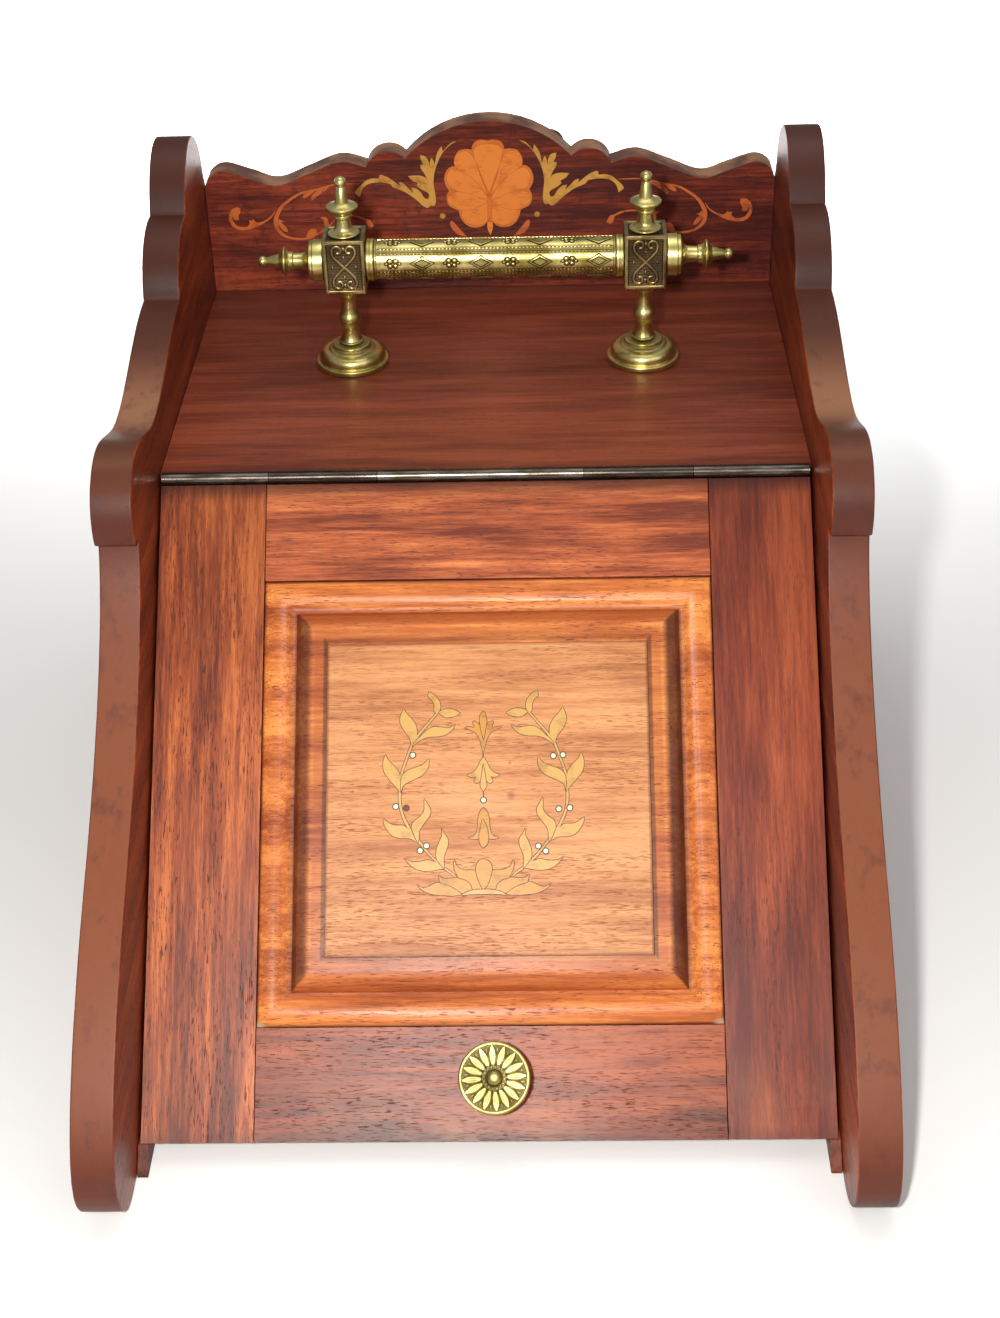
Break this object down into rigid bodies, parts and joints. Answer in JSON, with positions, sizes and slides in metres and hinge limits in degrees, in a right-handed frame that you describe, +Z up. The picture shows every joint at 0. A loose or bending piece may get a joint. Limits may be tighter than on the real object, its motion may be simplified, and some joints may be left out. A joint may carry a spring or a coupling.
{
  "type": "coal scuttle",
  "caption": "Slope-front mahogany coal box with a top-hinged inlaid fall, a brass carrying handle on turned pillars, a lift-out metal liner and a shovel hung behind.",
  "frame": {"origin": "middle of the overall box, on the floor the coal box stands on", "axes": "+Z up; +Y from the sloping fall towards the back; +X to the right as seen from the front"},
  "size_m": [0.3634, 0.5498, 0.3354],
  "materials": {
    "case_mahogany": "french polished, dark red-brown",
    "gallery_mahogany": "french polished, deep red",
    "fall_mahogany": "french polished, orange-brown",
    "panel_mahogany": "french polished, golden",
    "tablet_veneer": "polished veneer, salmon-tan",
    "satinwood_inlay": "polished marquetry",
    "dark_inlay": "stained marquetry lines",
    "carcass_pine": "unfinished, dusty",
    "aged_brass": "aged, dark in the recesses",
    "hinge_steel": "worn, tarnished",
    "japanned_iron": "black japanned sheet iron",
    "forged_iron": "blackened",
    "ebonised_wood": "turned, glossy black"
  },
  "bodies": {
    "carcass": {"left_side": "case_mahogany", "right_side": "case_mahogany", "shelf_board": "case_mahogany", "left_fall_stop": "case_mahogany", "right_fall_stop": "case_mahogany", "gallery_board": "gallery_mahogany", "back_board": "carcass_pine", "floor_board": "carcass_pine", "left_runner": "carcass_pine", "right_runner": "carcass_pine", "shelf_hinge_leaf": "hinge_steel", "hinge_pin": "hinge_steel", "shelf_hinge_screw_1": "hinge_steel", "shelf_hinge_screw_2": "hinge_steel", "shelf_hinge_screw_3": "hinge_steel", "left_pillar_base": "aged_brass", "left_pillar_stem": "aged_brass", "left_pillar_block": "aged_brass", "left_top_finial": "aged_brass", "left_end_finial": "aged_brass", "left_bar_collar": "aged_brass", "left_pillar_stud": "hinge_steel", "left_pillar_nut": "hinge_steel", "right_pillar_base": "aged_brass", "right_pillar_stem": "aged_brass", "right_pillar_block": "aged_brass", "right_top_finial": "aged_brass", "right_end_finial": "aged_brass", "right_bar_collar": "aged_brass", "right_pillar_stud": "hinge_steel", "right_pillar_nut": "hinge_steel", "handle_bar": "aged_brass", "handle_tie_rod": "hinge_steel", "liner_shell": "japanned_iron", "left_liner_ear": "japanned_iron", "right_liner_ear": "japanned_iron", "shovel_bracket": "aged_brass", "bracket_screw_1": "aged_brass", "bracket_screw_2": "aged_brass"},
    "fall": {"fall_left_stile": "fall_mahogany", "fall_right_stile": "fall_mahogany", "fall_top_rail": "fall_mahogany", "fall_bottom_rail": "fall_mahogany", "fall_raised_panel": "panel_mahogany", "fall_inlay_tablet": "tablet_veneer", "fall_hinge_leaf": "hinge_steel", "fall_hinge_screw_1": "hinge_steel", "fall_hinge_screw_2": "hinge_steel", "fall_hinge_screw_3": "hinge_steel", "knob_rosette": "aged_brass", "knob_bolt": "hinge_steel"},
    "bail": {"liner_bail": "japanned_iron"},
    "shovel": {"shovel_grip": "ebonised_wood", "shovel_ferrule": "aged_brass", "shovel_shank": "forged_iron", "shovel_pan": "forged_iron"}
  },
  "joints": [
    {"name": "fall_hinge", "type": "hinge", "parent": "carcass", "child": "fall", "pos_m": [0, 0.00506, 0.2286], "axis": [-1, 0, 0], "range_deg": [0, 177]},
    {"name": "bail_hinge", "type": "hinge", "parent": "carcass", "child": "bail", "pos_m": [0, 0.0686, 0.1], "axis": [-1, 0, 0], "range_deg": [0, 90]},
    {"name": "shovel_lift", "type": "slide", "parent": "carcass", "child": "shovel", "axis": [0, 0, 1], "range_m": [0, 0.04]}
  ]
}
